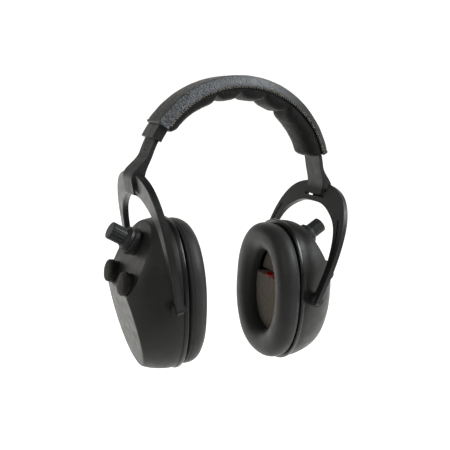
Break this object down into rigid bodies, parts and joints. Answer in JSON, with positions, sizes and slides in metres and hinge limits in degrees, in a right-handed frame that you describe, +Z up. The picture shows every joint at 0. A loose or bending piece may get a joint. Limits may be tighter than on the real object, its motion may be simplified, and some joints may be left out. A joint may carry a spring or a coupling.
{
  "type": "earmuff hearing protector",
  "caption": "Over-the-head electronic earmuff: padded sprung band, telescoping arms, wishbone yokes, faceted tilting cups with volume knobs, microphones and soft ear cushions.",
  "frame": {"origin": "middle of the headband padding's underside, where the band rests on the crown of the head", "axes": "+X from the wearer's one ear to the other, through the right-hand cup; -Y the front; +Z up, out of the top of the band"},
  "size_m": [0.1718, 0.0936, 0.2041],
  "materials": {
    "spring_steel": "satin",
    "rivet_steel": "satin",
    "band_leatherette": "grained leatherette",
    "pad_leatherette": "grained leatherette, quilted",
    "block_plastic": "satin",
    "arm_plastic": "satin",
    "yoke_plastic": "satin",
    "pin_steel": "ground",
    "shell_plastic": "fine moulded texture",
    "ring_plastic": "gloss",
    "cushion_vinyl": "smooth vinyl",
    "liner_foam": "open-cell foam",
    "speaker_metal": "matt",
    "tray_plastic": "matt",
    "battery_sleeve": "satin film",
    "contact_metal": "plated",
    "screw_steel": "zinc plated",
    "board_green": "solder mask",
    "lead_red": "matt",
    "mic_ring_plastic": "matt",
    "mic_metal": "satin",
    "mic_foam": "open-cell foam",
    "pot_metal": "satin",
    "nut_plastic": "knurled",
    "knob_plastic": "satin, fluted"
  },
  "bodies": {
    "headband": {"band_spring": "spring_steel", "sleeve_cover": "band_leatherette", "sleeve_padding": "pad_leatherette", "band_rivets": "rivet_steel", "left_slide_block": "block_plastic", "right_slide_block": "block_plastic"},
    "left_arm": {"left_arm": "arm_plastic"},
    "left_yoke": {"left_yoke": "yoke_plastic", "left_yoke_pin": "pin_steel"},
    "left_cup": {"left_outer_shell": "shell_plastic", "left_cushion_plate": "ring_plastic", "left_ear_cushion": "cushion_vinyl", "left_foam_liner": "liner_foam", "left_speaker": "speaker_metal", "left_battery_tray": "tray_plastic", "left_batteries": "battery_sleeve", "left_battery_contacts": "contact_metal", "left_tray_screws": "screw_steel", "left_circuit_board": "board_green", "left_battery_lead": "lead_red", "left_mic_rings": "mic_ring_plastic", "left_mic_capsules": "mic_metal", "left_mic_foams": "mic_foam", "left_volume_pot": "pot_metal", "left_knob_nut": "nut_plastic"},
    "left_knob": {"left_volume_knob": "knob_plastic"},
    "right_arm": {"right_arm": "arm_plastic"},
    "right_yoke": {"right_yoke": "yoke_plastic", "right_yoke_pin": "pin_steel"},
    "right_cup": {"right_outer_shell": "shell_plastic", "right_cushion_plate": "ring_plastic", "right_ear_cushion": "cushion_vinyl", "right_foam_liner": "liner_foam", "right_speaker": "speaker_metal", "right_battery_tray": "tray_plastic", "right_batteries": "battery_sleeve", "right_battery_contacts": "contact_metal", "right_tray_screws": "screw_steel", "right_circuit_board": "board_green", "right_battery_lead": "lead_red", "right_mic_rings": "mic_ring_plastic", "right_mic_capsules": "mic_metal", "right_mic_foams": "mic_foam", "right_volume_pot": "pot_metal", "right_knob_nut": "nut_plastic"},
    "right_knob": {"right_volume_knob": "knob_plastic"}
  },
  "joints": [
    {"name": "left_arm_slide", "type": "hinge", "parent": "headband", "child": "left_arm", "pos_m": [0, 0, -0.0598], "axis": [0, -1, 0], "range_deg": [-8, 8]},
    {"name": "left_yoke_swing", "type": "hinge", "parent": "left_arm", "child": "left_yoke", "pos_m": [-0.07284, 0, -0.05988], "axis": [0, 1, 0], "range_deg": [-7, 7]},
    {"name": "left_cup_tilt", "type": "hinge", "parent": "left_yoke", "child": "left_cup", "pos_m": [-0.0524, 0, -0.1336], "axis": [0, 1, 0], "range_deg": [-19, 26]},
    {"name": "left_volume_turn", "type": "hinge", "parent": "left_cup", "child": "left_knob", "pos_m": [-0.06797, 0, -0.10147], "axis": [-0.9018, 0, 0.4321], "range_deg": [0, 300]},
    {"name": "right_arm_slide", "type": "hinge", "parent": "headband", "child": "right_arm", "pos_m": [0, 0, -0.0598], "axis": [0, 1, 0], "range_deg": [-8, 8]},
    {"name": "right_yoke_swing", "type": "hinge", "parent": "right_arm", "child": "right_yoke", "pos_m": [0.07284, 0, -0.05988], "axis": [0, -1, 0], "range_deg": [-7, 7]},
    {"name": "right_cup_tilt", "type": "hinge", "parent": "right_yoke", "child": "right_cup", "pos_m": [0.0524, 0, -0.1336], "axis": [0, -1, 0], "range_deg": [-29, 16]},
    {"name": "right_volume_turn", "type": "hinge", "parent": "right_cup", "child": "right_knob", "pos_m": [0.06203, 0, -0.09922], "axis": [0.8111, 0, 0.585], "range_deg": [0, 300]}
  ]
}
